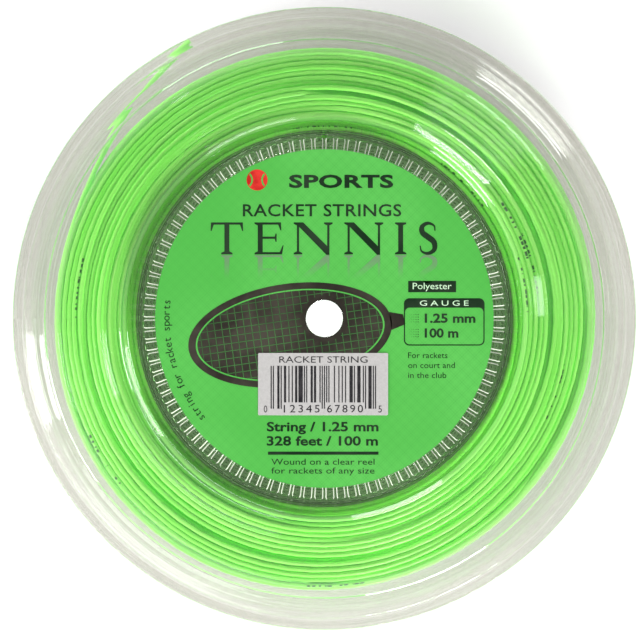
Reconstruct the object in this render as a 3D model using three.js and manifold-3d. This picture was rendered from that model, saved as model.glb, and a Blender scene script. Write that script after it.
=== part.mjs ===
// A retail reel of tennis string, lying flat on its rear hub.
//
// Two identical clear flanges are pressed into the ends of a clear drum tube. The flanges are shallow cones,
// so the space between them is widest at the drum. 100 m of string is wound in it, and its free end runs out
// to the rim. The reel is as thick as that length of string needs at this diameter.
// A round printed label lies in the recess of each hub, and a barcode sticker lies on the front one.
//
// Millimetres, +Z up. The origin is the centre of the footprint, on the surface that the rear hub rests on.
import * as THREE from "three";
import { mergeVertices } from "three/addons/utils/BufferGeometryUtils.js";
import Module from "manifold-3d";

// Driving dimensions.
const REEL_RADIUS = 75;
const REEL_THICKNESS = 32;
const BORE_RADIUS = 4.4;
const WALL = 0.9;
const DRUM_RADIUS = 45.1;
const DRUM_WALL = 0.75;
const HUB_RING_RADIUS = 47.2;
const HUB_RING_THICKNESS = 1.1;
const LABEL_RADIUS = 40.5;
const LABEL_RECESS = 0.55;
const RIB_COUNT = 100;
const RIB_THICKNESS = 0.8;
const PLUG_DEPTH = 3.4;
const RIM_HALF_GAP = 8.5;
const STRING_DIAMETER = 1.25;
const STRING_HOLE_RADIUS = 1.1;
const WINDING_RADIUS = 66;
const STICKER = { width: 31.1, height: 14.9, x: -0.3, y: -15.7 };

// Clearances between pieces that touch or are glued.
const FIT_GAP = 0.3;
const GLUE = 0.05;
const LABEL_THICKNESS = 0.2;
const STICKER_THICKNESS = 0.1;

// Facets of the round pieces.
const ROUND = 60;
const SMALL_ROUND = 24;

// Heights above the reel's middle plane, which the two flanges share.
const MID = REEL_THICKNESS / 2;
const WEB_THICKNESS = 0.8;
const WEB_TOP = MID - LABEL_RECESS;
const WEB_UNDERSIDE = WEB_TOP - WEB_THICKNESS;
const DRUM_SEAT = MID - HUB_RING_THICKNESS;
const PLUG_END = DRUM_SEAT - PLUG_DEPTH;

// Radii that follow from the driving ones.
const RECESS_RADIUS = LABEL_RADIUS + 0.35;
const DRUM_INNER_RADIUS = DRUM_RADIUS - DRUM_WALL;
const PLUG_RADIUS = DRUM_INNER_RADIUS - FIT_GAP;
const PLUG_WALL = 0.7;
const RIB_TIP_RADIUS = LABEL_RADIUS - 0.3;
const BOSS_RADIUS = BORE_RADIUS + 1.4;
const BOSS_END = 0.2;

// The outer face of a flange's cone: where it starts beside the hub ring, steps to the lip and meets the rim.
const CONE_START = [HUB_RING_RADIUS + 1.6, MID - 0.95];
const CONE_END = [REEL_RADIUS - 6.1, MID - 5.2];
const LIP_START = [REEL_RADIUS - 5.3, MID - 5.6];
const LIP_END = [REEL_RADIUS - 1.4, RIM_HALF_GAP + WALL + 0.1];

// The inner face of a flange over the string, which the winding follows.
const UNDERSIDE_START = [CONE_START[0] - 0.15, CONE_START[1] - 1];
const UNDERSIDE_END = [LIP_START[0] - 0.5, LIP_START[1] - WALL + 0.1];

const wasm = await Module();
wasm.setup();

// A closed geometry as a manifold-3d solid.
function solidOf(geometry) {
  const bare = geometry.index ? geometry.toNonIndexed() : geometry.clone();
  bare.deleteAttribute("normal");
  bare.deleteAttribute("uv");
  const merged = mergeVertices(bare, 1e-4);
  return new wasm.Manifold(
    new wasm.Mesh({
      numProp: 3,
      vertProperties: merged.attributes.position.array,
      triVerts: new Uint32Array(merged.index.array),
    }),
  );
}

// A manifold-3d solid as a geometry.
function geometryOf(solid) {
  const mesh = solid.getMesh();
  const geometry = new THREE.BufferGeometry();
  geometry.setAttribute("position", new THREE.BufferAttribute(mesh.vertProperties, 3));
  geometry.setIndex(new THREE.BufferAttribute(mesh.triVerts, 1));
  geometry.computeVertexNormals();
  return geometry;
}

// A closed profile of [radius, height] points, turned about Z. The points run anticlockwise.
function turned(profile, segments) {
  const points = [...profile, profile[0]].map(([r, z]) => new THREE.Vector2(r, z));
  return new THREE.LatheGeometry(points, segments).rotateX(Math.PI / 2);
}

// A flat ring from z upwards.
function ring(inner, outer, z, height, segments) {
  return turned([[inner, z], [outer, z], [outer, z + height], [inner, z + height]], segments);
}

// The flange's disc, in heights above the middle plane: web, hub ring, cone, step, lip and rim.
function discProfile() {
  return [
    [BORE_RADIUS + 0.7, WEB_UNDERSIDE],
    [PLUG_RADIUS - PLUG_WALL, WEB_UNDERSIDE],
    [PLUG_RADIUS - PLUG_WALL, PLUG_END],
    [PLUG_RADIUS, PLUG_END],
    [PLUG_RADIUS, DRUM_SEAT],
    [HUB_RING_RADIUS, DRUM_SEAT],
    UNDERSIDE_START,
    UNDERSIDE_END,
    [REEL_RADIUS - 2, RIM_HALF_GAP],
    [REEL_RADIUS, RIM_HALF_GAP],
    [REEL_RADIUS, RIM_HALF_GAP + WALL],
    LIP_END,
    LIP_START,
    CONE_END,
    CONE_START,
    [HUB_RING_RADIUS, MID],
    [RECESS_RADIUS, MID],
    [RECESS_RADIUS, WEB_TOP],
    [BORE_RADIUS + 0.7, WEB_TOP],
  ];
}

// The plug's comb of radial ribs, as one toothed ring that starts inside the plug's wall.
function ribComb() {
  const outer = PLUG_RADIUS - PLUG_WALL / 2;
  const root = PLUG_RADIUS - PLUG_WALL;
  const shape = new THREE.Shape();
  shape.absarc(0, 0, outer, 0, 2 * Math.PI, false);
  const inside = new THREE.Path();
  const at = (radius, angle) => [radius * Math.cos(angle), radius * Math.sin(angle)];
  for (let i = 0; i < RIB_COUNT; i++) {
    const middle = (2 * Math.PI * i) / RIB_COUNT;
    const rootHalf = RIB_THICKNESS / 2 / root;
    const tipHalf = RIB_THICKNESS / 2 / RIB_TIP_RADIUS;
    if (i === 0) inside.moveTo(...at(root, middle - rootHalf));
    else inside.lineTo(...at(root, middle - rootHalf));
    inside.lineTo(...at(RIB_TIP_RADIUS, middle - tipHalf));
    inside.lineTo(...at(RIB_TIP_RADIUS, middle + tipHalf));
    inside.lineTo(...at(root, middle + rootHalf));
  }
  inside.closePath();
  shape.holes.push(inside);
  const depth = WEB_UNDERSIDE + WEB_THICKNESS / 2 - PLUG_END;
  const comb = new THREE.ExtrudeGeometry(shape, { depth, bevelEnabled: false, curveSegments: ROUND });
  return comb.translate(0, 0, PLUG_END);
}

// One moulded flange, facing up, with its middle plane at z = 0.
function flangeGeometry() {
  const disc = solidOf(turned(discProfile(), ROUND));
  const boss = solidOf(ring(BORE_RADIUS, BOSS_RADIUS, BOSS_END, WEB_TOP - BOSS_END, SMALL_ROUND));
  const bore = solidOf(new THREE.CylinderGeometry(BORE_RADIUS, BORE_RADIUS, REEL_THICKNESS, SMALL_ROUND)
    .rotateX(Math.PI / 2));
  const ribs = solidOf(ribComb());
  return geometryOf(disc.add(ribs).add(boss).subtract(bore));
}

// The drum tube, with the small hole that takes the inner end of the string.
function drumGeometry() {
  const half = DRUM_SEAT - FIT_GAP;
  const tube = solidOf(ring(DRUM_INNER_RADIUS, DRUM_RADIUS, -half, 2 * half, ROUND));
  const hole = solidOf(new THREE.CylinderGeometry(STRING_HOLE_RADIUS, STRING_HOLE_RADIUS, 4 * DRUM_WALL, 12)
    .translate(0, DRUM_RADIUS, 0));
  return geometryOf(tube.subtract(hole));
}

// The outer shape of the wound string: a ring that follows the two cones, with bevelled outer edges.
function windingProfile() {
  const [nearR, nearZ] = UNDERSIDE_START;
  const [farR, farZ] = UNDERSIDE_END;
  const slope = (farZ - nearZ) / (farR - nearR);
  const half = (radius) => nearZ + slope * (radius - nearR) - FIT_GAP;
  const inner = DRUM_RADIUS + FIT_GAP;
  const bevel = 0.8;
  const shoulder = WINDING_RADIUS - bevel;
  return [
    [inner, -half(nearR)],
    [nearR, -half(nearR)],
    [shoulder, -half(shoulder)],
    [WINDING_RADIUS, bevel - half(shoulder)],
    [WINDING_RADIUS, half(shoulder) - bevel],
    [shoulder, half(shoulder)],
    [nearR, half(nearR)],
    [inner, half(nearR)],
  ];
}

// The free end of the string, from the top turn of the winding out to the rim.
function tailGeometry() {
  const route = new THREE.CatmullRomCurve3([
    new THREE.Vector3(-52.8, 41.7, MID),
    new THREE.Vector3(-50.5, 45.6, MID),
    new THREE.Vector3(-47.9, 49.6, MID),
    new THREE.Vector3(-45.1, 53.7, MID),
    new THREE.Vector3(-42.1, 57.5, MID),
    new THREE.Vector3(-38.9, 61.0, MID),
    new THREE.Vector3(-35.7, 64.1, MID),
    new THREE.Vector3(-32.4, 66.9, MID),
  ]);
  const section = new THREE.Shape();
  const sides = 8;
  for (let i = 0; i < sides; i++) {
    const angle = (2 * Math.PI * i) / sides;
    const point = [(STRING_DIAMETER / 2) * Math.cos(angle), (STRING_DIAMETER / 2) * Math.sin(angle)];
    if (i === 0) section.moveTo(...point);
    else section.lineTo(...point);
  }
  return new THREE.ExtrudeGeometry(section, { steps: 18, extrudePath: route, bevelEnabled: false });
}

const CLEAR_PLASTIC = { color: 0xe6e8e2, roughness: 0.08, metalness: 0, transparent: true, opacity: 0.35 };

function named(name, geometry, material) {
  const mesh = new THREE.Mesh(geometry, new THREE.MeshStandardMaterial(material));
  mesh.name = name;
  return mesh;
}

// The whole reel. Both flanges are the same moulding: the rear one is turned over.
function reel() {
  const group = new THREE.Group();
  const flange = flangeGeometry();
  const front = named("front_flange", flange, CLEAR_PLASTIC);
  front.position.z = MID;
  const rear = named("rear_flange", flange.clone(), CLEAR_PLASTIC);
  rear.rotation.x = Math.PI;
  rear.position.z = MID;

  const drum = named("drum", drumGeometry(), CLEAR_PLASTIC);
  drum.position.z = MID;
  const coil = named(
    "string_coil",
    turned(windingProfile(), ROUND),
    { color: 0x55e03c, roughness: 0.3, metalness: 0 },
  );
  coil.position.z = MID;
  const tail = named("string_tail", tailGeometry(), { color: 0x7cf25a, roughness: 0.3, metalness: 0 });

  const labelHole = BORE_RADIUS + 0.1;
  const labelZ = MID + WEB_TOP + GLUE;
  const label = named(
    "front_label",
    ring(labelHole, LABEL_RADIUS, labelZ, LABEL_THICKNESS, ROUND),
    { color: 0x5bd656, roughness: 0.45, metalness: 0 },
  );
  const rearLabel = named(
    "rear_label",
    ring(labelHole, LABEL_RADIUS, LABEL_RECESS - GLUE - LABEL_THICKNESS, LABEL_THICKNESS, ROUND),
    { color: 0x5bd656, roughness: 0.45, metalness: 0 },
  );
  const sticker = named(
    "barcode_sticker",
    new THREE.BoxGeometry(STICKER.width, STICKER.height, STICKER_THICKNESS),
    { color: 0xdcdadc, roughness: 0.5, metalness: 0 },
  );
  sticker.position.set(STICKER.x, STICKER.y, labelZ + LABEL_THICKNESS + GLUE + STICKER_THICKNESS / 2);

  group.add(rear, rearLabel, drum, coil, tail, front, label, sticker);
  return group;
}

const group = reel();
export default group;
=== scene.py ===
"""A clear reel of green racket string, seen from straight above its front label.

Shapes are drawn in units of 1/110 of the reel's radius, and turned into metres when a mesh is made. The
flanges, the drum and the winding are drawn from the reel's middle plane and then raised to it. Materials use
the same unit, in thousands. Only the string's thickness and length are real millimetres.
"""

import math

import bmesh
import bpy
import numpy as np
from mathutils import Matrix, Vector


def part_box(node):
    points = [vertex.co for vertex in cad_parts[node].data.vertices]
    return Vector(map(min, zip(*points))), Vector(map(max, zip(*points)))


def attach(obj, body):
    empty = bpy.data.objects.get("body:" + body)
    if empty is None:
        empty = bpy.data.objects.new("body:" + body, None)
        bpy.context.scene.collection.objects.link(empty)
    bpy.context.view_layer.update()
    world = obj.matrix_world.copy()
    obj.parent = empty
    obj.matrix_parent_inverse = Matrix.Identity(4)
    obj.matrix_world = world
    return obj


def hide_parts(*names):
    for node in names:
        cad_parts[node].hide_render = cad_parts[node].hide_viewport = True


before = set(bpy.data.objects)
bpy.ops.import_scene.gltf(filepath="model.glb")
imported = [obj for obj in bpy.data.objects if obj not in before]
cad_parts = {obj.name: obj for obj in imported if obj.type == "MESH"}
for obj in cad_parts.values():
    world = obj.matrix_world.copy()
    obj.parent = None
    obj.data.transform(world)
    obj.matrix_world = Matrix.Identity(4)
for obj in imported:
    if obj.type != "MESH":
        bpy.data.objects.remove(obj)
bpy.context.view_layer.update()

REEL_RADIUS = 110
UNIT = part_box("front_flange")[1].x / REEL_RADIUS
MM = 0.001
TAU = 2 * math.pi

# Sizes taken from the frame.
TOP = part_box("front_flange")[1].z / UNIT
MID = TOP / 2
DRUM_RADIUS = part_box("drum")[1].x / UNIT
DRUM_HALF_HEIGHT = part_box("drum")[1].z / UNIT - MID
LABEL_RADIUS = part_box("front_label")[1].x / UNIT
LABEL_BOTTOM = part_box("front_label")[0].z / UNIT
LABEL_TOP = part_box("front_label")[1].z / UNIT
STICKER_LOW, STICKER_HIGH = (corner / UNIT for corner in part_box("barcode_sticker"))

# The flanges' own dimensions.
ROUND = 300
BORE_RADIUS = 6.5
BOSS_RADIUS = 8.5
BOSS_END = 0.2
WALL = 1.3
HUB_RING_THICKNESS = 1.6
HUB_RING_RADIUS = 69.2
RECESS_RADIUS = LABEL_RADIUS + 0.5
WEB_TOP = MID - 0.8
WEB_UNDERSIDE = WEB_TOP - 1.2
DRUM_SEAT = MID - HUB_RING_THICKNESS
DRUM_WALL = 1.1
DRUM_INNER_RADIUS = DRUM_RADIUS - DRUM_WALL
PLUG_RADIUS = DRUM_INNER_RADIUS - 0.3
PLUG_END = DRUM_SEAT - 5
PLUG_ROOT = PLUG_RADIUS - 1
RIB_COUNT = 100
RIB_THICKNESS = 0.8
RIB_TIP_RADIUS = LABEL_RADIUS - 0.4
RIM_HALF_GAP = MID - 11.05
CONE_START = (HUB_RING_RADIUS + 2.4, MID - 1.4)
CONE_END = (REEL_RADIUS - 9, MID - 7.6)
LIP_START = (REEL_RADIUS - 7.8, MID - 8.2)
LIP_END = (REEL_RADIUS - 2, RIM_HALF_GAP + WALL + 0.15)
UNDERSIDE_START = (CONE_START[0] - 0.2, CONE_START[1] - 1.5)
UNDERSIDE_END = (LIP_START[0] - 0.7, LIP_START[1] - WALL + 0.2)

# The string.
STRING_RADIUS = 0.625 * MM / UNIT
STRING_LENGTH = 100_000 * MM / UNIT
LAYERS = 17
OUTER_LAYER_RADIUS = 94.6
STEPS_PER_TURN = 64

INK = 0.02


# -------- helpers


def added(name, data):
    """A new object in the scene."""
    made = bpy.data.objects.new(name, data)
    bpy.context.scene.collection.objects.link(made)
    return made


def piece(name, vertices, faces, body, material, replaces=(), sharp=35, tidy=False):
    """A mesh piece made from points in drawing units, riding on a body."""
    mesh = bpy.data.meshes.new(name)
    mesh.from_pydata((np.asarray(vertices, float) * UNIT).tolist(), [], faces)
    if tidy:
        work = bmesh.new()
        work.from_mesh(mesh)
        bmesh.ops.recalc_face_normals(work, faces=work.faces)
        work.to_mesh(mesh)
        work.free()
    mesh.polygons.foreach_set("use_smooth", [True] * len(mesh.polygons))
    mesh.set_sharp_from_angle(angle=math.radians(sharp))
    mesh.materials.append(material)
    made = added(name, mesh)
    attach(made, body)
    if replaces:
        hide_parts(*replaces)
    return made


def rounded(corners, steps=4, support=0.12):
    """Turns (radius, height, fillet) corners into a smooth line, with a support point beside each fillet."""
    line = []
    for index, (r, z, fillet) in enumerate(corners):
        here = np.array([r, z])
        if fillet == 0:
            line.append(here)
            continue
        before = np.array(corners[index - 1][:2]) - here
        after = np.array(corners[(index + 1) % len(corners)][:2]) - here
        reach = min(fillet, 0.45 * np.linalg.norm(before), 0.45 * np.linalg.norm(after))
        before, after = unit(before), unit(after)
        line.append(here + before * (reach + min(support, reach / 5)))
        for step in range(steps + 1):
            share = step / steps
            line.append(here + before * reach * (1 - share) ** 2 + after * reach * share**2)
        line.append(here + after * (reach + min(support, reach / 5)))
    return line


def unit(vectors):
    """The same directions, each of length 1."""
    return vectors / np.linalg.norm(vectors, axis=-1, keepdims=True)


def on_slope(radius, start, end):
    """The height at a radius of the straight line from start to end, both (radius, height)."""
    share = np.clip((radius - start[0]) / (end[0] - start[0]), 0, 1)
    return start[1] + share * (end[1] - start[1])


def on_circle(radius, angle, z):
    return [radius * math.cos(angle), radius * math.sin(angle), z]


def turned(line, closed, segments=ROUND):
    """Vertices and faces of a line of (radius, height) points turned about Z."""
    vertices = [on_circle(r, TAU * i / segments, z) for r, z in line for i in range(segments)]
    rows = len(line) if closed else len(line) - 1
    faces = []
    for row in range(rows):
        low = row * segments
        high = ((row + 1) % len(line)) * segments
        for i in range(segments):
            j = (i + 1) % segments
            faces.append((low + i, low + j, high + j, high + i))
    return vertices, faces


def turned_over(vertices):
    """The same points turned half a turn about the X axis, as the rear flange is."""
    return np.asarray(vertices) * (1, -1, -1)


def raised(vertices, z):
    return np.asarray(vertices) + (0, 0, z)


def add_spline(curve, points):
    spline = curve.splines.new("POLY")
    spline.points.add(len(points) - 1)
    for point, (x, y, z) in zip(spline.points, points):
        point.co = (x, y, z, 1)
    return spline


def evaluated(made):
    """A new mesh of an object as its modifiers or its curve's settings make it."""
    bpy.context.view_layer.update()
    return bpy.data.meshes.new_from_object(made.evaluated_get(bpy.context.evaluated_depsgraph_get()))


# -------- materials


def node(tree, kind, inputs=None, **settings):
    """Adds a shader node. Each input is a value or another node's output."""
    made = tree.nodes.new("ShaderNode" + kind)
    for key, value in settings.items():
        setattr(made, key, value)
    for key, value in (inputs or {}).items():
        if isinstance(value, bpy.types.NodeSocket):
            tree.links.new(value, made.inputs[key])
        else:
            made.inputs[key].default_value = value
    return made


def maths(operation, first, *others):
    """The output of a math node. Here and below, first is another node's output, whose tree the node joins."""
    inputs = dict(enumerate([first, *others]))
    return node(first.id_data, "Math", inputs, operation=operation).outputs[0]


def plus(first, second):
    return maths("ADD", first, second)


def minus(first, second):
    return maths("SUBTRACT", first, second)


def times(first, second):
    return maths("MULTIPLY", first, second)


def fraction(value):
    return maths("FRACT", value)


def from_half(share):
    """How far a share is from one half."""
    return maths("ABSOLUTE", minus(share, 0.5))


def between(first, low, high, out_low=0.0, out_high=1.0, smooth=True):
    """A value mapped from low..high to out_low..out_high, held at both ends."""
    inputs = {"Value": first, "From Min": low, "From Max": high, "To Min": out_low, "To Max": out_high}
    kind = "SMOOTHSTEP" if smooth else "LINEAR"
    return node(first.id_data, "MapRange", inputs, interpolation_type=kind).outputs[0]


def blended(first, none, full):
    """A colour mixed from two others, as first goes from 0 to 1."""
    return node(first.id_data, "Mix", {0: first, 6: none, 7: full}, data_type="RGBA").outputs[2]


def new_material(name):
    material = bpy.data.materials.new(name)
    material.use_nodes = True
    material.node_tree.nodes.clear()
    return material, material.node_tree


def finished(material, shader):
    """The material, with a shader as its surface."""
    node(material.node_tree, "OutputMaterial", {"Surface": shader})
    return material


def principled(tree, inputs):
    return node(tree, "BsdfPrincipled", inputs).outputs[0]


def bumped(first, strength, depth):
    """A surface direction bent by a height, whose depth is in drawing units."""
    inputs = {"Strength": strength, "Distance": depth * UNIT, "Height": first}
    return node(first.id_data, "Bump", inputs).outputs[0]


def place(tree):
    """The place in the reel's frame, in thousands of drawing units, whole and as X, Y and Z."""
    metres = node(tree, "TexCoord").outputs["Object"]
    whole = node(tree, "VectorMath", {0: metres, "Scale": MM / UNIT}, operation="SCALE").outputs[0]
    parts = node(tree, "SeparateXYZ", {0: whole}).outputs
    return whole, parts[0], parts[1], parts[2]


def noise(first, scale, detail=3.0, roughness=0.5):
    inputs = {"Vector": first, "Scale": scale, "Detail": detail, "Roughness": roughness}
    return node(first.id_data, "TexNoise", inputs).outputs[0]


def clear_plastic(name, hub=(0.62, 0.84, 0.54, 1), marks=0.0):
    """Clear moulded plastic: tinged with green over the hub, where the darker tint is painted shade, clean and
    glossy over the string, milkier and duller towards the rim, with faint concentric flow marks and fine
    scratches. marks is how plainly painted reflections of the ribs show, as milky lines on the ring outside
    them."""
    clear = (0.95, 0.98, 0.93, 1)
    milky = (0.8, 0.785, 0.745, 1)
    material, tree = new_material(name)
    whole, x, y, _ = place(tree)
    radius = maths("SQRT", plus(times(x, x), times(y, y)))
    angle = maths("ARCTAN2", y, x)
    rings = node(tree, "CombineXYZ", {0: radius, 1: times(angle, 0.001)}).outputs[0]
    flow = noise(rings, 700.0, 3.0, 0.6)
    outward = between(radius, 0.090, 0.099)
    grain = noise(whole, 900.0, 2.0)
    cells = {"Vector": whole, "Scale": 130.0}
    scratch = node(tree, "TexVoronoi", cells, feature="DISTANCE_TO_EDGE").outputs[0]
    scratched = between(scratch, 0.0, 0.01, 0.04, 0.0)
    roughness = plus(between(grain, 0.35, 0.75, 0.02, 0.05), scratched)
    roughness = plus(roughness, between(radius, 0.101, 0.106, 0.0, 0.06))
    cloud = times(outward, between(flow, 0.3, 0.7, 0.5, 1.0))
    if marks:
        # Painted reflections of the ribs: two milky marks beside the middle of each rib, on the ring that the
        # drum is seated under. The whole number of turns that is added keeps the count of ribs above zero.
        share = fraction(plus(times(angle, RIB_COUNT / TAU), RIB_COUNT + 0.5))
        off = maths("ABSOLUTE", minus(from_half(share), 0.12))
        seat = times(between(radius, 0.0652, 0.0656), between(radius, 0.0684, 0.0680))
        mark = times(seat, between(off, 0.02, 0.06, marks, 0.0))
        cloud = maths("MAXIMUM", cloud, mark)
    # Painted shade: the green hub tint darkens what is seen through the hub ring and the drum.
    past_hub = between(radius, HUB_RING_RADIUS * MM, (HUB_RING_RADIUS + 1) * MM)
    tint = blended(cloud, blended(past_hub, hub, clear), milky)
    body = principled(tree, {
        "Base Color": tint,
        "Roughness": roughness,
        "IOR": 1.55,
        "Transmission Weight": between(cloud, 0.0, 1.0, 0.985, 0.86, smooth=False),
        "Normal": bumped(flow, strength=0.1, depth=0.06),
    })
    light_path = node(tree, "LightPath")
    shade = blended(between(radius, 0.093, 0.098), (0.97, 0.97, 0.96, 1), (0.79, 0.78, 0.76, 1))
    through = node(tree, "BsdfTransparent", {"Color": shade})
    mixed = node(tree, "MixShader", {
        0: light_path.outputs["Is Shadow Ray"],
        1: body,
        2: through.outputs[0],
    })
    return finished(material, mixed.outputs[0])


def frosted_edge_with_painted_light():
    """The finely eroded fillets at the ribs' roots, white with frost and made brighter still by painted light.
    """
    material, tree = new_material("frosted_edge_with_painted_light")
    whole = place(tree)[0]
    grain = noise(whole, 2500.0, 2.0)
    return finished(material, principled(tree, {
        "Base Color": blended(grain, (0.94, 0.9, 0.88, 1), (1, 0.98, 0.97, 1)),
        "Roughness": 0.5,
        "IOR": 1.55,
        "Transmission Weight": between(grain, 0.3, 0.7, 0.15, 0.0),
        # Painted light: the emission makes the frosted fillets brighter than the lamps do.
        "Emission Color": (1, 0.95, 0.93, 1),
        "Emission Strength": 0.12,
    }))


def string_plastic(name, glow):
    """Bright green polyester: glossy, with a run of small dark printed marks every 330 mm.
    glow is painted light: an emission in the string's own colour that brightens it though it is no lamp."""
    material, tree = new_material(name)
    whole = place(tree)[0]
    along_and_round = node(tree, "UVMap", uv_map="string").outputs[0]
    parts = node(tree, "SeparateXYZ", {0: along_and_round}).outputs
    along, turn = parts[0], parts[1]
    # Lengths in metres. The marks fill the last part of each run.
    run_length = 0.33
    mark_length = 0.0013
    marked_share = 0.045
    run = maths("FLOOR", maths("DIVIDE", along, run_length))
    run_share = fraction(maths("DIVIDE", along, run_length))
    in_run = maths("GREATER_THAN", run_share, 1 - marked_share)
    mark = maths("FLOOR", maths("DIVIDE", along, mark_length))
    mark_share = fraction(maths("DIVIDE", along, mark_length))
    chance = node(tree, "TexWhiteNoise", {"W": mark}, noise_dimensions="1D").outputs[0]
    inked = maths("LESS_THAN", mark_share, between(chance, 0.2, 0.9, 0.0, 0.85, smooth=False))
    side = node(tree, "TexWhiteNoise", {"W": run}, noise_dimensions="1D").outputs[0]
    away = from_half(fraction(minus(turn, side)))
    facing = maths("LESS_THAN", away, 0.085)
    marked = times(times(in_run, inked), facing)
    line = node(tree, "CombineXYZ", {0: along}).outputs[0]
    shade = noise(line, 6.0, 3.0, 0.6)
    green = blended(between(shade, 0.35, 0.65), (0.19, 0.80, 0.07, 1), (0.38, 0.97, 0.18, 1))
    colour = blended(marked, green, (0.03, 0.14, 0.03, 1))
    wear = noise(whole, 2500.0, 1.0)
    return finished(material, principled(tree, {
        "Base Color": colour,
        "Roughness": between(wear, 0.3, 0.7, 0.18, 0.3),
        "IOR": 1.5,
        "Specular IOR Level": 0.28,
        # Painted light: the emission brightens the string evenly, whatever the lamps do.
        "Emission Color": colour,
        "Emission Strength": glow,
        "Normal": bumped(wear, strength=0.2, depth=0.02),
    }))


def hatching(x, y):
    """1 on the thin lines of a diagonal lattice, less on every other line, 0 between them."""
    lines = []
    for period, height in ((0.00447, 1.0), (0.002235, 0.55)):
        for total in (plus(x, y), minus(x, y)):
            share = fraction(maths("DIVIDE", plus(total, 1.0), period))
            away = times(from_half(share), period)
            lines.append(between(away, 0.00008, 0.00034, height, 0.0))
    first = maths("MAXIMUM", lines[0], lines[2])
    second = maths("MAXIMUM", lines[1], lines[3])
    return times(plus(first, second), 0.6)


def label_film(name, fade_from=None, fade_to=None):
    """Green printed film with a fine diagonal lattice. With a fade, it carries grey ink that thins out from
    one y to another."""
    material, tree = new_material(name)
    whole, x, y, _ = place(tree)
    cloud = noise(whole, 18.0, 2.0)
    base = blended(between(cloud, 0.3, 0.7), (0.068, 0.41, 0.056, 1), (0.098, 0.48, 0.08, 1))
    lattice = times(hatching(x, y), between(cloud, 0.25, 0.6, 0.45, 0.9))
    colour = blended(times(lattice, 0.4), base, (0.03, 0.26, 0.03, 1))
    if fade_from is not None:
        ink = between(y, fade_to * MM, fade_from * MM, 0.0, 0.75)
        colour = blended(ink, colour, (0.16, 0.2, 0.15, 1))
    grain = noise(whole, 3500.0, 1.0)
    return finished(material, principled(tree, {
        "Base Color": colour,
        "Roughness": between(grain, 0.3, 0.7, 0.38, 0.52),
        "IOR": 1.45,
        "Normal": bumped(grain, strength=0.15, depth=0.01),
    }))


def print_ink(name, first, second, scale=60.0, roughness=0.4):
    """Printing ink whose cover varies a little between two colours."""
    material, tree = new_material(name)
    whole = place(tree)[0]
    cover = noise(whole, scale, 4.0, 0.7)
    colour = blended(between(cover, 0.35, 0.65), first, second)
    return finished(material, principled(tree, {
        "Base Color": colour,
        "Roughness": between(cover, 0.3, 0.7, roughness - 0.06, roughness + 0.06),
        "IOR": 1.45,
    }))


def sticker_paper():
    """Coated white label paper with faint fibres."""
    material, tree = new_material("sticker_paper")
    whole = place(tree)[0]
    fibre = noise(whole, 1400.0, 4.0, 0.7)
    colour = blended(between(fibre, 0.3, 0.7), (0.43, 0.42, 0.41, 1), (0.49, 0.48, 0.47, 1))
    return finished(material, principled(tree, {
        "Base Color": colour,
        "Roughness": between(fibre, 0.3, 0.7, 0.45, 0.6),
        "IOR": 1.45,
        "Normal": bumped(fibre, strength=0.3, depth=0.02),
    }))


# marks paints reflections of the ribs as milky lines on the ring that the drum is seated under.
PLASTIC = clear_plastic("clear_plastic", marks=0.3)
# The drum's plastic carries the painted-shade hub tint all over, a little lighter than the flanges'.
DRUM_PLASTIC = clear_plastic("drum_plastic", hub=(0.7, 0.95, 0.64, 1))
FROST_WITH_PAINTED_LIGHT = frosted_edge_with_painted_light()
STRING = string_plastic("polyester_string", glow=0.05)
# The free end is the same string with more painted light, to lift it out of the shade under the flange's rim.
PAINTED_BRIGHTER_LOOSE_STRING = string_plastic("polyester_string_end_painted_brighter", glow=0.3)
LABEL = label_film("label_film")
BLACK_INK = print_ink("black_ink", (0.004, 0.02, 0.006, 1), (0.012, 0.03, 0.012, 1))
GREY_INK = print_ink("grey_ink", (0.018, 0.015, 0.011, 1), (0.05, 0.044, 0.032, 1), scale=35.0)
CORD_INK = print_ink("cord_ink", (0.03, 0.12, 0.03, 1), (0.05, 0.2, 0.045, 1))
RED_INK = print_ink("red_ink", (0.42, 0.008, 0.006, 1), (0.66, 0.03, 0.02, 1), scale=140.0)
LIGHT_INK = print_ink("light_ink", (0.52, 0.78, 0.5, 1), (0.66, 0.86, 0.64, 1))
PAPER = sticker_paper()
PAPER_INK = print_ink("paper_ink", (0.01, 0.01, 0.012, 1), (0.03, 0.028, 0.03, 1), scale=400.0)


# -------- camera


def make_camera():
    """A long lens straight above, set back far enough to take in the whole rim with a narrow margin."""
    data = bpy.data.cameras.new("camera")
    data.lens = 250
    data.sensor_width = 36
    picture_width = 227.84
    height = MID + picture_width * data.lens / data.sensor_width
    # It stands a little to the left of the bore and towards the foot of the label.
    aside = (-1.53, -0.53)
    camera = added("camera", data)
    camera.location = Vector((aside[0], aside[1], height)) * UNIT
    data.clip_start = 0.1
    data.clip_end = 20
    bpy.context.scene.camera = camera


make_camera()


# -------- the string's free end

TAIL_ROUTE = [
    (-0.0528, 0.0417),
    (-0.0505, 0.0456),
    (-0.0479, 0.0496),
    (-0.0451, 0.0537),
    (-0.0421, 0.0575),
    (-0.0389, 0.0610),
    (-0.0357, 0.0641),
    (-0.0324, 0.0669),
]


def smooth_route(points, steps=6):
    """A Catmull-Rom curve through the points, with the ends carried straight on."""
    known = [np.array(p, float) for p in points]
    known = [2 * known[0] - known[1], *known, 2 * known[-1] - known[-2]]
    route = []
    for a, b, c, d in zip(known, known[1:], known[2:], known[3:]):
        for step in range(steps):
            t = step / steps
            route.append(0.5 * (2 * b + (c - a) * t + (2 * a - 5 * b + 4 * c - d) * t**2
                                + (3 * b - 3 * c + d - a) * t**3))
    return [*route, known[-2]]


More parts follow.
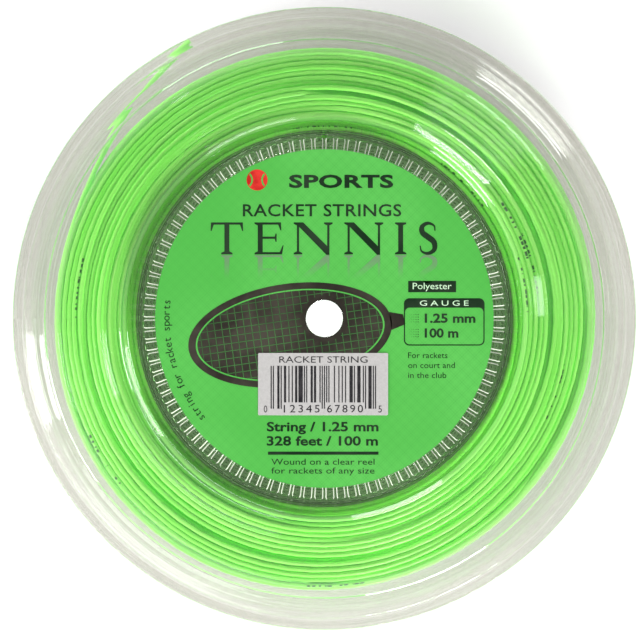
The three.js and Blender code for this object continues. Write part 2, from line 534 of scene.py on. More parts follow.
def make_tail():
    route = [(x, y, MID * UNIT) for x, y in smooth_route(TAIL_ROUTE)]
    curve = bpy.data.curves.new("string_free_end", "CURVE")
    curve.dimensions = "3D"
    curve.bevel_depth = STRING_RADIUS * UNIT
    curve.bevel_resolution = 4
    curve.use_fill_caps = True
    add_spline(curve, route).use_smooth = True
    # The free end wears the copy of the string with more painted light.
    curve.materials.append(PAINTED_BRIGHTER_LOOSE_STRING)
    made = added("string_free_end", curve)
    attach(made, "wound_drum")
    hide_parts("string_tail")


make_tail()


# -------- the wound string


def underside_of_cone(radius):
    """How far the inner face of a flange is from the middle plane."""
    return on_slope(radius, UNDERSIDE_START, UNDERSIDE_END)


def swell(radius, angle):
    """How far the winding stands out of round: nothing on the drum, most in the top layer."""
    depth = (radius - DRUM_RADIUS) / (OUTER_LAYER_RADIUS - DRUM_RADIUS)
    return 1.7 * depth * (0.5 + 0.3 * np.cos(2 * (angle - 0.9)) + 0.2 * np.cos(3 * (angle - 2.2)))


def wavering(position, parts):
    """A smooth sum of waves along the string, from (height, waves per turn, phase) parts."""
    return sum(height * np.sin(TAU * (waves * position + phase)) for height, waves, phase in parts)


def winding_line():
    """The centreline of the wound string, from inside the drum to where the free end leaves the top layer."""
    random = np.random.default_rng(7)
    inner_bend = 2.4
    radii = np.linspace(DRUM_RADIUS + STRING_RADIUS + 0.05, OUTER_LAYER_RADIUS, LAYERS)
    halves = underside_of_cone(radii) - STRING_RADIUS - 0.1
    # Each layer lies against a flange for a while at each end, and crosses from end to end between.
    rests = random.uniform(0.45, 1.0, (LAYERS, 2))
    climbs = random.uniform(0.1, 0.6, LAYERS)
    # How far a layer's ends stay back from the flanges, which changes round the reel.
    # Every other layer nests behind its neighbours.
    nested = np.arange(LAYERS) % 2
    sink_mean = 0.5 * STRING_RADIUS * nested + random.uniform(-0.15, 0.3, LAYERS)
    sink_wave = random.uniform(0.1, 0.6, LAYERS)
    sink_phase = random.uniform(0, TAU, LAYERS)
    sink_wave[2::4] += 1.1
    # One layer leaves a long groove towards the upper right.
    groove_layer, groove_depth, groove_towards = 7, 2.6, 0.75
    sink_wave[groove_layer], sink_phase[groove_layer] = groove_depth, groove_towards
    crossing = 2 * halves
    crossing[0] /= 2
    crossing[-1] /= 2
    resting_length = np.sum(TAU * radii * rests.sum(1))
    # The first layers are wound more openly.
    open_layers = 3.5
    spread = 1 + 0.4 * np.clip(1 - np.arange(LAYERS) / open_layers, 0, 1)
    pitch = np.sum(TAU * radii * crossing / spread) / (STRING_LENGTH - resting_length)
    turns = rests.sum(1) + crossing / (pitch * spread)
    start_angle = math.pi / 2 - inner_bend / radii[0]
    leave_angle = math.atan2(TAIL_ROUTE[0][1], TAIL_ROUTE[0][0])
    over = (turns.sum() - (start_angle - leave_angle) / TAU) % 1
    turns[-1] -= over
    ends = np.cumsum(turns)
    position = np.linspace(0, ends[-1], int(ends[-1] * STEPS_PER_TURN))
    layer = np.minimum(np.searchsorted(ends, position, side="right"), LAYERS - 1)
    into = position - (ends - turns)[layer]
    left = ends[layer] - position

    share = np.clip((into - rests[layer, 0]) / (turns[layer] - rests[layer].sum(1)), 0, 1)
    share = np.where(layer == 0, 0.5 + share / 2, share)
    share = np.where(layer == LAYERS - 1, share / 2, share)
    forward = np.where(layer % 2 == 0, 1, -1)
    angle = start_angle - TAU * position
    sink = np.clip(sink_mean[layer] + sink_wave[layer] * np.cos(angle - sink_phase[layer]), 0, None)
    # The first layers are also slack on the left side of the drum.
    slack_depth, slack_layers, slack_towards = 6.0, 6, 2.88
    slack_side = np.clip(0.3 + 1.1 * np.cos(angle - slack_towards), 0, 1)
    slack = slack_depth * np.clip(1 - layer / slack_layers, 0, 1) ** 1.3 * slack_side
    height = (halves[layer] - sink - slack) * forward * (2 * share - 1)

    climb = np.clip(1 - left / climbs[layer], 0, 1)
    climb = climb * climb * (3 - 2 * climb)
    above = np.append(radii[1:], radii[-1])
    radius = radii[layer] + climb * (above - radii)[layer]
    radius = radius + swell(radius, angle)
    radius += wavering(position, [(0.1, 1.31, 0.1), (0.05, 2.73, 0.6), (0.02, 5.2, 0.3)])
    height += wavering(position, [(0.25, 0.87, 0.7), (0.12, 2.1, 0.2), (0.04, 4.3, 0.5)])
    limit = underside_of_cone(radius) - STRING_RADIUS - 0.03
    height = np.clip(height, -limit, limit)

    # The last stretch rises to meet the free end.
    rise_turns = 24 / 360
    rise = np.clip(1 - (ends[-1] - position) / rise_turns, 0, 1) ** 2
    leave_radius = math.hypot(*TAIL_ROUTE[0]) / UNIT
    radius += rise * (leave_radius - radius[-1])
    height *= np.clip((ends[-1] - position) / (3 * rise_turns), 0, 1)

    wound = np.stack([radius * np.cos(angle), radius * np.sin(angle), height], axis=1)
    lead = [(0, y, 0) for y in np.linspace(DRUM_INNER_RADIUS - 0.8, radii[0] - inner_bend, 4)]
    bend_steps = 8
    for step in range(1, bend_steps):
        turn = math.pi / 2 * step / bend_steps
        lead.append((inner_bend * (1 - math.cos(turn)), radii[0] + inner_bend * (math.sin(turn) - 1), 0))
    return np.concatenate([np.array(lead), wound])


def make_winding(sides=8):
    """The wound string as one tube, with a map of the distance along it and the way round it."""
    line = winding_line()
    ahead = unit(np.gradient(line, axis=0))
    aside = unit(np.cross(ahead, (0, 0, 1)))
    up = np.cross(aside, ahead)
    steps = np.linalg.norm(np.diff(line, axis=0), axis=1)
    along = np.concatenate([[0], np.cumsum(steps)])
    around = TAU * np.arange(sides) / sides
    rings = (line[:, None] + STRING_RADIUS * (np.cos(around)[None, :, None] * aside[:, None]
                                              + np.sin(around)[None, :, None] * up[:, None]))
    count = len(line)
    index = np.arange(count * sides).reshape(count, sides)
    following = np.roll(index, -1, axis=1)
    faces = np.stack([index[:-1], index[1:], following[1:], following[:-1]], axis=-1).reshape(-1, 4)
    caps = [index[0].tolist(), index[-1][::-1].tolist()]
    made = piece("string_winding", raised(rings.reshape(-1, 3), MID), [*faces.tolist(), *caps], "wound_drum",
                 STRING, replaces=["string_coil"], sharp=70)
    turn = np.arange(sides)
    u = np.stack([along[:-1], along[1:], along[1:], along[:-1]], axis=-1)[:, None, :].repeat(sides, axis=1)
    v = np.stack([turn, turn, turn + 1, turn + 1], axis=-1)[None].repeat(count - 1, axis=0) / sides
    values = np.stack([u * UNIT, v], axis=-1).reshape(-1, 2)
    values = np.concatenate([values, np.zeros((2 * sides, 2))])
    layer = made.data.uv_layers.new(name="string")
    layer.data.foreach_set("uv", values.ravel())


make_winding()


# -------- flanges and drum


def flange_outline():
    """The flange's half section above the middle plane, from the web's underside, round by the bore, the top
    and the rim, to the end of the plug."""
    def cone(radius, sag=0.0):
        share = (radius - CONE_START[0]) / (CONE_END[0] - CONE_START[0])
        crown = 1.3 * share * (1 - share)
        return on_slope(radius, CONE_START, CONE_END) + crown + sag

    def lip(radius, sag=0.0):
        return on_slope(radius, LIP_START, LIP_END) + sag

    crowned = [(r, cone(r), 0) for r in np.linspace(80, 92, 7)]
    return [
        (RIB_TIP_RADIUS - 2, WEB_UNDERSIDE, 0),
        (BOSS_RADIUS, WEB_UNDERSIDE, 0.5),
        (BOSS_RADIUS, BOSS_END, 0.2),
        (BORE_RADIUS, BOSS_END, 0.2),
        (BORE_RADIUS, WEB_TOP, 0.25),
        (RECESS_RADIUS, WEB_TOP, 0.1),
        (RECESS_RADIUS, MID, 0.3),
        (HUB_RING_RADIUS, MID, 1.6),
        (*CONE_START, 0.9),
        (74, cone(74), 0),
        (76, cone(76), 0),
        (77.6, cone(77.6), 0.2),
        (78.1, cone(78.1, 0.12), 0.2),
        (78.7, cone(78.7), 0.2),
        *crowned,
        (93.2, cone(93.2), 0.2),
        (93.7, cone(93.7, -0.18), 0.3),
        (96.5, cone(96.5, -0.1), 0),
        (98.3, cone(98.3), 0.1),
        (98.7, cone(98.7, -0.22), 0.1),
        (99.1, cone(99.1), 0.1),
        (CONE_END[0], CONE_END[1], 0.5),
        (*LIP_START, 0.6),
        (105.6, lip(105.6), 0.2),
        (106.1, lip(106.1, -0.2), 0.3),
        (*LIP_END, 0.5),
        (REEL_RADIUS, RIM_HALF_GAP + WALL - 0.05, 0.55),
        (REEL_RADIUS, RIM_HALF_GAP, 0.5),
        (REEL_RADIUS - 3, RIM_HALF_GAP, 0.8),
        (*UNDERSIDE_END, 0.8),
        (*UNDERSIDE_START, 0.6),
        (HUB_RING_RADIUS, DRUM_SEAT, 0.3),
        (PLUG_RADIUS, DRUM_SEAT, 0.2),
        (PLUG_RADIUS, PLUG_END, 0.3),
        (PLUG_RADIUS - 0.4, PLUG_END, 0),
    ]


def pocket_outline(pitch, growth):
    """One pocket of the ribbed plug as (radius, angle) points, from the middle of one rib's tip to the next.
    growth is how much thicker the ribs and the wall are than their plain size, on each side."""
    fillet = 1.1
    half = RIB_THICKNESS / 2
    tip = RIB_TIP_RADIUS - growth
    side = [(tip, 0), (tip, (half + growth) * 0.55), (tip + 0.28, half + growth)]
    for step in range(7):
        turn = math.pi / 2 * step / 6
        reach = fillet - growth
        side.append((PLUG_ROOT - fillet + reach * math.sin(turn), half + fillet - reach * math.cos(turn)))
    near = [(r, across / r) for r, across in side]
    return near + [(r, pitch - angle) for r, angle in reversed(near[1:])]


def pocket_levels(web_fillet=0.36, end_round=0.2, steps=4):
    """(height, growth) of each row of a pocket's wall: a fillet under the web, and rounded lower edges."""
    turns = [math.pi / 2 * step / steps for step in range(steps + 1)]
    fillet = [(WEB_UNDERSIDE - web_fillet * (1 - math.cos(t)), web_fillet * (1 - math.sin(t))) for t in turns]
    end = [(PLUG_END + end_round * (1 - math.sin(t)), -end_round * (1 - math.cos(t))) for t in turns]
    return fillet + end


def flange_mesh():
    """Vertices and faces of a flange above the middle plane."""
    vertices, faces = turned(rounded(flange_outline()), closed=False)
    web_edge = 0
    plug_edge = len(vertices) - ROUND
    pitch = TAU / RIB_COUNT
    first = len(vertices)
    levels = pocket_levels()
    for level, growth in levels:
        outline = pocket_outline(pitch, growth)
        for rib in range(RIB_COUNT):
            vertices += [on_circle(r, angle + rib * pitch, level) for r, angle in outline[:-1]]
    size = len(outline) - 1
    whole = RIB_COUNT * size
    for row in range(len(levels) - 1):
        low = first + row * whole
        for i in range(whole):
            j = (i + 1) % whole
            faces.append((low + i, low + j, low + whole + j, low + whole + i))
    wall_start = len(faces) - (len(levels) - 1) * whole
    along_a_rib = (2, 3, 4, 5, size - 5, size - 4, size - 3, size - 2)
    # The rib fillets that get the frosted material with its painted light.
    frosted = [wall_start + row * whole + rib * size + i
               for row in range(len(levels) // 2 - 1) for rib in range(RIB_COUNT) for i in along_a_rib]
    last = first + (len(levels) - 1) * whole
    per_rib = ROUND // RIB_COUNT
    for rib in range(RIB_COUNT):
        toothed = [(rib * size + i) % whole for i in range(size + 1)]
        arc = [(rib * per_rib + i) % ROUND for i in range(per_rib, -1, -1)]
        faces.append([first + i for i in toothed] + [web_edge + i for i in arc])
        faces.append([last + i for i in toothed] + [plug_edge + i for i in arc])
    return vertices, faces, frosted


def make_flanges():
    vertices, faces, frosted = flange_mesh()
    for end, points in (("front", vertices), ("rear", turned_over(vertices))):
        flange = piece(end + "_flange_moulding", raised(points, MID), faces, end + "_end",
                       PLASTIC, replaces=[end + "_flange"], tidy=True)
        # The second material is the frost with painted light, for the rib fillets.
        flange.data.materials.append(FROST_WITH_PAINTED_LIGHT)
        for index in frosted:
            flange.data.polygons[index].material_index = 1


def make_drum():
    """The drum tube, with the small hole that the string's inner end goes through."""
    low, high, fillet = -DRUM_HALF_HEIGHT, DRUM_HALF_HEIGHT, 0.4
    line = rounded([
        (DRUM_INNER_RADIUS, low, fillet),
        (DRUM_RADIUS, low, fillet),
        (DRUM_RADIUS, high, fillet),
        (DRUM_INNER_RADIUS, high, fillet),
    ])
    vertices, faces = turned(line, closed=True)
    drum = piece("drum_tube", raised(vertices, MID), faces, "wound_drum", DRUM_PLASTIC,
                 replaces=["drum"], tidy=True)
    hole_radius, through = 1.6, 14
    bpy.ops.mesh.primitive_cylinder_add(
        vertices=24,
        radius=hole_radius * UNIT,
        depth=through * UNIT,
        rotation=(math.pi / 2, 0, 0),
        location=(0, DRUM_RADIUS * UNIT, MID * UNIT),
    )
    cutter = bpy.context.object
    hole = drum.modifiers.new("string_hole", "BOOLEAN")
    hole.operation = "DIFFERENCE"
    hole.object = cutter
    drum.data = evaluated(drum)
    drum.modifiers.clear()
    bpy.data.objects.remove(cutter)


make_flanges()
make_drum()


# -------- labels and print


def baked(curve):
    """The filled shape of a curve or text, as points and faces, INK thick."""
    holder = added("outline", curve)
    mesh = evaluated(holder)
    points = np.array([v.co for v in mesh.vertices], float).reshape(-1, 3)
    faces = [list(face.vertices) for face in mesh.polygons]
    bpy.data.objects.remove(holder)
    bpy.data.meshes.remove(mesh)
    return points, faces


def filled(*outlines):
    """The shape inside the first outline and outside the others."""
    curve = bpy.data.curves.new("outline", "CURVE")
    curve.dimensions = "2D"
    curve.fill_mode = "BOTH"
    curve.extrude = INK / 2
    for outline in outlines:
        add_spline(curve, [(x, y, 0) for x, y in outline]).use_cyclic_u = True
    return baked(curve)


def text_shape(words, bold=0.0, spacing=1.0):
    """Words in the built-in font, 1 unit high before scaling, with their baseline at y = 0."""
    curve = bpy.data.curves.new("words", "FONT")
    curve.body = words
    curve.offset = bold
    curve.space_character = spacing
    curve.resolution_u = 3
    curve.extrude = INK / 2
    return baked(curve)


CAP_HEIGHT = text_shape("H")[0][:, 1].max()


def moved(shape, x=0.0, y=0.0, scale=(1.0, 1.0), turn=0.0):
    """A shape scaled, then turned, then moved in its own plane."""
    points, faces = shape
    sx, sy = points[:, 0] * scale[0], points[:, 1] * scale[1]
    flat_x = sx * math.cos(turn) - sy * math.sin(turn) + x
    flat_y = sx * math.sin(turn) + sy * math.cos(turn) + y
    if scale[0] * scale[1] < 0:
        faces = [face[::-1] for face in faces]
    return np.stack([flat_x, flat_y, np.sign(points[:, 2]) * INK / 2], axis=1), faces


def lettering(words, left, right, baseline, height, bold=0.0, spacing=1.0):
    """Words stretched to fit between two x positions."""
    shape = text_shape(words, bold, spacing)
    low, high = shape[0][:, 0].min(), shape[0][:, 0].max()
    wide = (right - left) / (high - low)
    return moved(shape, left - low * wide, baseline, (wide, height / CAP_HEIGHT))


def bar(left, right, low, high):
    return filled([(left, low), (right, low), (right, high), (left, high)])


def arc(x, y, radius, start, end, steps=8):
    """Points on an arc, angles in degrees."""
    turns = np.radians(np.linspace(start, end, steps + 1))
    return [(x + radius * math.cos(t), y + radius * math.sin(t)) for t in turns]


def rounded_box(left, right, low, high, radius, flat_bottom=False):
    if flat_bottom:
        bottom = [(left, low), (right, low)]
    else:
        bottom = [*arc(left + radius, low + radius, radius, 180, 270),
                  *arc(right - radius, low + radius, radius, 270, 360)]
    return [*bottom, *arc(right - radius, high - radius, radius, 0, 90),
            *arc(left + radius, high - radius, radius, 90, 180)]


def ink_piece(name, shapes, z, body, material):
    """Shapes joined into one printed piece that lies on z."""
    points, faces, count = [], [], 0
    for shape_points, shape_faces in shapes:
        points.append(shape_points)
        faces += [[i + count for i in face] for face in shape_faces]
        count += len(shape_points)
    return piece(name, raised(np.concatenate(points), z + INK / 2), faces, body, material, sharp=30)


def make_label(name, low, high, body, replaced):
    line = rounded([(BORE_RADIUS + 0.1, low, 0.05), (LABEL_RADIUS, low, 0.05),
                    (LABEL_RADIUS, high, 0.05), (BORE_RADIUS + 0.1, high, 0.05)], steps=2)
    vertices, faces = turned(line, closed=True, segments=240)
    piece(name, vertices, faces, body, LABEL, replaces=[replaced], tidy=True)


# Serif capitals on a height of 1, each as one outline, with its width.
STEM, THIN, SERIF, FOOT, SLOPE = 0.155, 0.07, 0.1, 0.045, 0.05


def letter_i():
    left, right = SERIF, SERIF + STEM
    width = right + SERIF
    return [(0, 0), (width, 0), (width, FOOT), (right, FOOT + SLOPE), (right, 1 - FOOT - SLOPE),
            (width, 1 - FOOT), (width, 1), (0, 1), (0, 1 - FOOT), (left, 1 - FOOT - SLOPE),
            (left, FOOT + SLOPE), (0, FOOT)], width


def letter_t():
    width = 1.0
    left, right = (width - STEM) / 2, (width + STEM) / 2
    drop = 1 - 0.27
    return [(left - SERIF, 0), (right + SERIF, 0), (right + SERIF, FOOT), (right, FOOT + SLOPE),
            (right, 1 - THIN), (width - 0.09, 1 - THIN), (width - 0.02, drop), (width + 0.01, drop),
            (width, 1), (0, 1), (-0.01, drop), (0.02, drop), (0.09, 1 - THIN), (left, 1 - THIN),
            (left, FOOT + SLOPE), (left - SERIF, FOOT)], width


def letter_e():
    width = 0.86
    left, right = SERIF, SERIF + STEM
    arm, middle = width - 0.2, 0.52
    return [(0, 0), (width, 0), (width + 0.05, 0.28), (width + 0.02, 0.28), (width - 0.07, THIN),
            (right, THIN), (right, middle - THIN / 2), (arm - 0.03, middle - THIN / 2), (arm, middle - 0.13),
            (arm + 0.03, middle - 0.13), (arm + 0.03, middle + 0.13), (arm, middle + 0.13),
            (arm - 0.03, middle + THIN / 2), (right, middle + THIN / 2), (right, 1 - THIN),
            (width - 0.12, 1 - THIN), (width - 0.05, 0.75), (width - 0.02, 0.75), (width - 0.03, 1), (0, 1),
            (0, 1 - FOOT), (left, 1 - FOOT - SLOPE), (left, FOOT + SLOPE), (0, FOOT)], width


def letter_n():
    width = 1.22
    left, right = SERIF, width - SERIF - THIN
    return [(0, 0), (2 * SERIF + THIN, 0), (2 * SERIF + THIN, FOOT), (left + THIN, FOOT + SLOPE),
            (left + THIN, 0.86), (right - 0.02, -0.02), (right + THIN, -0.02),
            (right + THIN, 1 - FOOT - SLOPE), (width, 1 - FOOT), (width, 1), (right - SERIF, 1),
            (right - SERIF, 1 - FOOT),
            (right, 1 - FOOT - SLOPE), (right, 0.26), (left + 0.2, 1), (0, 1), (0, 1 - FOOT),
            (left, 1 - FOOT - SLOPE), (left, FOOT + SLOPE), (0, FOOT)], width


def letter_s():
    """A stroke that is thick through the middle and thin at both ends."""
    spine = smooth_route([(0.53, 0.74), (0.50, 0.90), (0.31, 0.975), (0.13, 0.87), (0.14, 0.68), (0.33, 0.53),
                          (0.50, 0.38), (0.51, 0.15), (0.31, 0.03), (0.11, 0.10), (0.07, 0.27)], steps=4)
    spine = np.array(spine)
    ahead = unit(np.gradient(spine, axis=0))
    aside = np.stack([-ahead[:, 1], ahead[:, 0]], axis=1)
    share = np.linspace(0, 1, len(spine))
    half = 0.018 + 0.075 * np.sin(math.pi * share) ** 1.6
    left = spine + aside * half[:, None]
    right = spine - aside * half[:, None]
    return [*map(tuple, right), *map(tuple, left[::-1])], 0.62


def serif_word(letters, left, right, baseline, height):
    """A word of the serif capitals, spread evenly between two x positions."""
    drawn = [letter() for letter in letters]
    natural = sum(width for _, width in drawn) * height
    gap = (right - left - natural) / (len(drawn) - 1)
    shapes, x = [], left
    for outline, width in drawn:
        shapes.append(filled([(x + px * height, baseline + py * height) for px, py in outline]))
        x += width * height + gap
    return shapes


def racket():
    """A plain racket lying across the label, its handle hidden by the panel: its filled head round the hole,
    its rim and throat, and the cords across its head."""
    centre, turn = (-12, -5.8), math.radians(8)
    long, short = 36, 18

    def local(x, y):
        return (centre[0] + x * math.cos(turn) - y * math.sin(turn),
                centre[1] + x * math.sin(turn) + y * math.cos(turn))

    def ellipse(half_long, half_short, steps=96):
        turns = [TAU * step / steps for step in range(steps)]
        return [local(half_long * math.cos(t), half_short * math.sin(t)) for t in turns]

    hole = arc(0, 0, BORE_RADIUS + 0.1, 0, 354, 59)
    head = filled(ellipse(long - 3.2, short - 2.8), hole)
    rim = filled(ellipse(long, short), ellipse(long - 2.6, short - 2.3))
    handle = filled([local(long - 0.5, 3.2), local(long + 4.2, 1.7), local(long + 4.5, -1.9),
                     local(long - 0.5, -3.2)])
    cords = []
    spacing, width = 2.6, 0.2
    for horizontal in (True, False):
        reach, run = (short - 2.8, long - 3.2) if horizontal else (long - 3.2, short - 2.8)
        for number in range(-int(reach / spacing), int(reach / spacing) + 1):
            offset = number * spacing
            end = run * math.sqrt(max(0, 1 - (offset / reach) ** 2))
            for low, high in cord_spans(local, horizontal, offset, end):
                box = [(low, offset - width / 2), (high, offset - width / 2),
                       (high, offset + width / 2), (low, offset + width / 2)]
                if not horizontal:
                    box = [(y, x) for x, y in box]
                cords.append(filled([local(x, y) for x, y in box]))
    return [head, rim, handle], cords


def cord_spans(local, horizontal, offset, end, clear=BORE_RADIUS + 1.5):
    """The stretches of one drawn racket cord that stay clear of the spindle hole."""
    steps = np.linspace(-end, end, 80)
    spans, start, last = [], None, None
    for step in steps:
        x, y = local(step, offset) if horizontal else local(offset, step)
        if math.hypot(x, y) > clear:
            start = step if start is None else start
            last = step
        elif start is not None:
            spans.append((start, last))
            start = None
    if start is not None:
        spans.append((start, last))
    return [span for span in spans if span[1] - span[0] > 0.5]


def ball_icon(x, y, radius):
    """A plain ball with two curved seams left clear."""
    seams = []
    for side, first, last in ((1, 100, 260), (-1, -80, 80)):
        middle = x + side * 1.25 * radius
        near = arc(middle, y, 0.86 * radius, first, last, 24)
        far = arc(middle, y, 0.70 * radius, last, first, 24)
        seams.append([p for p in near + far if math.hypot(p[0] - x, p[1] - y) < 0.95 * radius])
    return filled(arc(x, y, radius, 0, 354, 59), *seams)


def curved_words(words, radius, start, end, height):
    """Words along an arc, their feet towards the centre, read clockwise from start to end, in degrees."""
    shapes = []
    for number, letter in enumerate(words):
        if letter == " ":
            continue
        angle = math.radians(start + (end - start) * number / (len(words) - 1))
        shape = text_shape(letter)
        middle = (shape[0][:, 0].min() + shape[0][:, 0].max()) / 2
        centred = (shape[0] - (middle, 0, 0), shape[1])
        size = height / CAP_HEIGHT
        shapes.append(moved(centred, radius * math.cos(angle), radius * math.sin(angle), (size, size),
                            angle - math.pi / 2))
    return shapes


def dots(left, low):
    """A small block of dots that thins out to the left."""
    shapes = []
    for column in range(5):
        for row in range(4):
            size = 0.06 + 0.035 * column
            shapes.append(filled(arc(left + column * 0.75, low + row * 0.85, size, 0, 300, 5)))
    return shapes


def front_print():
    """Everything printed on the front label."""
    letters = [letter_t, letter_e, letter_n, letter_n, letter_i, letter_s]
    foot, height = 22.5, 11.2
    big_word = serif_word(letters, -39.8, 39.8, foot, height)
    head, cords = racket()
    panel = (27.9, 56.2, -9.5, 7.1)
    header_low = 3.8
    line = 0.4
    window = (panel[0] + line, panel[1] - line, panel[2] + line, header_low)
    black = [
        *big_word,
        lettering("SPORTS", -12.4, 24.2, 46.0, 4.2, bold=0.035, spacing=1.05),
        lettering("RACKET STRINGS", -28.6, 27.0, 35.9, 4.1, bold=0.012, spacing=1.05),
        bar(29.4, 46.2, 9.2, 13.2),
        filled(rounded_box(*panel, 1.9), rounded_box(*window, 1.6)),
        *dots(29.9, -1.2),
        *dots(29.9, -6.4),
        lettering("1.25 mm", 35.2, 53.0, -1.4, 3.0, bold=0.03),
        lettering("100 m", 35.2, 47.0, -6.6, 3.0, bold=0.03),
        lettering("String / 1.25 mm", -20.2, 19.0, -39.5, 3.1, bold=0.025),
        lettering("328 feet / 100 m", -20.2, 18.8, -44.5, 3.1, bold=0.025),
        bar(-19.8, 19.0, -47.8, -46.7),
        lettering("Wound on a clear reel", -18.6, 17.6, -51.3, 2.1),
        lettering("for rackets of any size", -18.6, 17.6, -54.4, 2.1),
        lettering("For rackets", 29.4, 43.2, -13.9, 2.0),
        lettering("on court and", 29.4, 45.8, -17.4, 2.0),
        lettering("in the club", 29.4, 42.8, -20.9, 2.0),
        *curved_words("string for racket sports", 54.3, 219, 174, 2.7),
    ]
    light = [
        lettering("Polyester", 31.0, 44.6, 10.3, 2.2),
        lettering("GAUGE", 33.5, 50.6, 4.5, 1.8, spacing=1.5),
    ]
    z = LABEL_TOP + 0.01
    squeeze, gap = 0.85, 0.3
    mirror = [moved(shape, 0, foot - gap + squeeze * foot, (1, -squeeze)) for shape in big_word]
    fading = label_film("fading_print", fade_from=foot, fade_to=13.0)
    for name, shapes, rise, ink in (
        ("label_racket", head, 0, GREY_INK),
        ("label_racket_cords", cords, INK, CORD_INK),
        ("label_black_print", black, 0, BLACK_INK),
        ("label_light_print", light, INK, LIGHT_INK),
        ("label_ball", [ball_icon(-23.6, 48.6, 3.7)], 0, RED_INK),
        ("label_fading_print", mirror, 0, fading),
    ):
        ink_piece(name, shapes, z + rise, "front_end", ink)


def rear_print():
    """Two plain rings on the rear label."""
    rings = []
    for radius, width in ((55, 0.8), (53.2, 0.3)):
        outer = arc(0, 0, radius, 0, 357, 119)
        inner = arc(0, 0, radius - width, 0, 357, 119)
        rings.append(filled(outer, inner))
    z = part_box("rear_label")[0].z / UNIT - 0.01 - INK
    ink_piece("rear_label_rings", rings, z, "rear_end", BLACK_INK)


# The seven modules of each digit in the left half. The right half has bars and spaces exchanged.
DIGIT_BARS = ["0001101", "0011001", "0010011", "0111101", "0100011",
              "0110001", "0101111", "0111011", "0110111", "0001011"]
DIGITS = "012345678905"


def barcode_modules():
    """The bar pattern of twelve digits in a row, as text, and which modules are long guard bars."""
    left = "".join(DIGIT_BARS[int(d)] for d in DIGITS[:6])
    right = "".join(DIGIT_BARS[int(d)] for d in DIGITS[6:]).translate(str.maketrans("01", "10"))
    modules = "101" + left + "01010" + right + "101"
    long = set(range(10)) | set(range(45, 50)) | set(range(85, 95))
    return modules, long


def make_sticker():
    low, high = STICKER_LOW, STICKER_HIGH
    outline = rounded_box(low.x, high.x, low.y, high.y, 0.5)
    count = len(outline)
    edge = 0.03
    vertices = []
    for z, inset in ((low.z, 0), (high.z - edge, 0), (high.z, edge)):
        cx, cy = (low.x + high.x) / 2, (low.y + high.y) / 2
        shrink = (1 - 2 * inset / (high.x - low.x), 1 - 2 * inset / (high.y - low.y))
        vertices += [(cx + (x - cx) * shrink[0], cy + (y - cy) * shrink[1], z) for x, y in outline]
    faces = [list(range(count))[::-1], list(range(2 * count, 3 * count))]
    for row in range(2):
        for i in range(count):
            j = (i + 1) % count
            faces.append((row * count + i, row * count + j, (row + 1) * count + j, (row + 1) * count + i))
    piece("sticker_paper_sheet", vertices, faces, "front_end", PAPER,
          replaces=["barcode_sticker"], tidy=True)

    modules, long = barcode_modules()
    left, bars_width = low.x + 4.4, 37.0
    module = bars_width / len(modules)
    top, foot, guard_foot = high.y - 4.5, low.y + 4.5, low.y + 2.3
    shapes, index = [], 0
    while index < len(modules):
        if modules[index] == "1":
            end = index
            while end < len(modules) and modules[end] == "1" and (end in long) == (index in long):
                end += 1
            low_end = guard_foot if index in long else foot
            shapes.append(bar(left + index * module, left + end * module, low_end, top))
            index = end
        else:
            index += 1
    baseline = low.y + 1.0
    shapes += [
        lettering("RACKET STRING", low.x + 7.4, high.x - 7.2, high.y - 3.4, 2.2),
        lettering(DIGITS[0], low.x + 2.0, low.x + 3.2, baseline, 2.4),
        lettering(DIGITS[1:6], left + 4.6, left + 17.2, baseline, 2.6, spacing=1.3),
        lettering(DIGITS[6:11], left + 19.8, left + 32.4, baseline, 2.6, spacing=1.3),
        lettering(DIGITS[11], high.x - 3.4, high.x - 2.2, baseline, 2.4),
    ]
    ink_piece("sticker_print", shapes, high.z + 0.005, "front_end", PAPER_INK)


make_label("front_label_film", LABEL_BOTTOM, LABEL_TOP, "front_end", "front_label")
make_label("rear_label_film", TOP - LABEL_TOP, TOP - LABEL_BOTTOM, "rear_end", "rear_label")
front_print()
rear_print()
make_sticker()


# -------- floor and light


def pale_floor():
    material, tree = new_material("floor")
    grain = noise(place(tree)[0], 30.0)
    colour = blended(grain, (0.93, 0.93, 0.93, 1), (0.96, 0.96, 0.96, 1))
    return finished(material, principled(tree, {
        "Base Color": colour,
        "Roughness": 0.7,
        "Emission Color": colour,
        "Emission Strength": 0.2,
    }))


def make_floor():
    size = 4
    # Just under the hub ring, so that the two faces don't lie in one plane.
    height = -0.05 * MM
    mesh = bpy.data.meshes.new("floor")
    corners = [(-size, -size, height), (size, -size, height), (size, size, height), (-size, size, height)]
    mesh.from_pydata(corners, [], [(0, 1, 2, 3)])
    mesh.materials.append(pale_floor())
    added("floor", mesh)


def softbox(name, azimuth, slant, distance, size, watts):
    """A rectangular light aimed at the reel. slant is its angle from straight up, in degrees. Its distance
    and size are in thousands of drawing units, and watts is its power where a drawing unit is 1 mm."""
    data = bpy.data.lights.new(name, "AREA")
    data.shape = "RECTANGLE"
    near = UNIT / MM
    data.size, data.size_y = size[0] * near, size[1] * near
    data.energy = watts * near**2
    light = added(name, data)
    around, down = math.radians(azimuth), math.radians(slant)
    direction = Vector((math.sin(down) * math.cos(around), math.sin(down) * math.sin(around), math.cos(down)))
    light.location = direction * distance * near
    light.rotation_euler = direction.to_track_quat("Z", "Y").to_euler()


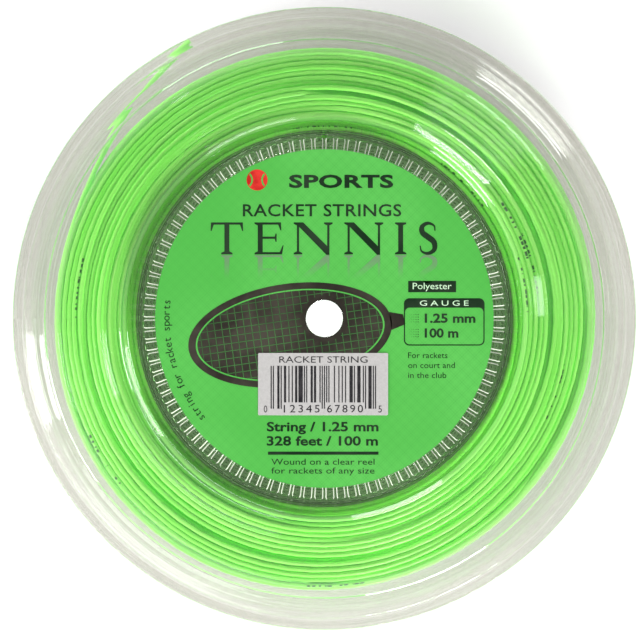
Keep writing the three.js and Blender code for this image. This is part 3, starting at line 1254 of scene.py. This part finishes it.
def make_lights():
    # Large soft lights round the sides give most of the light, the strongest from below right. The three
    # lowest stand between the eight main directions, so that a low view from one of those doesn't see them
    # mirrored in the label.
    softbox("side_lower_right", 292, 74, 1.7, (0.8, 0.4), 44)
    softbox("side_upper_right", 46, 48, 1.7, (0.5, 0.4), 9)
    softbox("side_upper_left", 112, 76, 1.7, (0.8, 0.3), 12)
    softbox("side_lower_left", 202, 74, 1.7, (0.8, 0.4), 29)
    # Small ones higher up make the glints on the flange's cone.
    softbox("strip_upper_right", 52, 24.3, 1.4, (0.26, 0.01), 0.2)
    softbox("strip_right", 6, 25.5, 1.4, (0.11, 0.04), 0.09)
    softbox("strip_upper_left", 123, 32.4, 1.4, (0.05, 0.03), 0.08)
    softbox("strip_left", 192, 35.5, 1.4, (0.24, 0.16), 1.6)
    softbox("strip_lower_left", 232, 36, 1.4, (0.8, 0.16), 1.8)
    # One shines straight down the spindle hole.
    spot = bpy.data.lights.new("hole_light", "SPOT")
    spot.energy = 24 * (UNIT / MM) ** 2
    spot.shadow_soft_size = 0
    spot.spot_blend = 0
    spot.spot_size = math.radians(1)
    lamp = added("hole_light", spot)
    lamp.location = (0, 0, (TOP + 0.98 * BORE_RADIUS / math.tan(spot.spot_size / 2)) * UNIT)
    world = bpy.data.worlds.new("studio")
    bpy.context.scene.world = world
    world.use_nodes = True
    tree = world.node_tree
    background = tree.nodes["Background"]
    background.inputs["Color"].default_value = (1, 0.995, 0.985, 1)
    # Dim overhead, so that flat gloss doesn't wash out the print.
    direction = node(tree, "TexCoord").outputs["Generated"]
    upward = node(tree, "SeparateXYZ", {0: direction}).outputs[2]
    strength = between(upward, 0.6, 0.86, 0.5, 0.06)
    tree.links.new(strength, background.inputs["Strength"])


def set_rendering():
    scene = bpy.context.scene
    scene.view_settings.view_transform = "Standard"
    scene.view_settings.look = "None"
    scene.cycles.use_denoising = True
    scene.cycles.caustics_reflective = False
    scene.cycles.caustics_refractive = False
    scene.cycles.max_bounces = 24
    scene.cycles.transmission_bounces = 20
    scene.cycles.glossy_bounces = 8
    scene.cycles.diffuse_bounces = 6
    scene.cycles.transparent_max_bounces = 24


make_floor()
make_lights()
set_rendering()
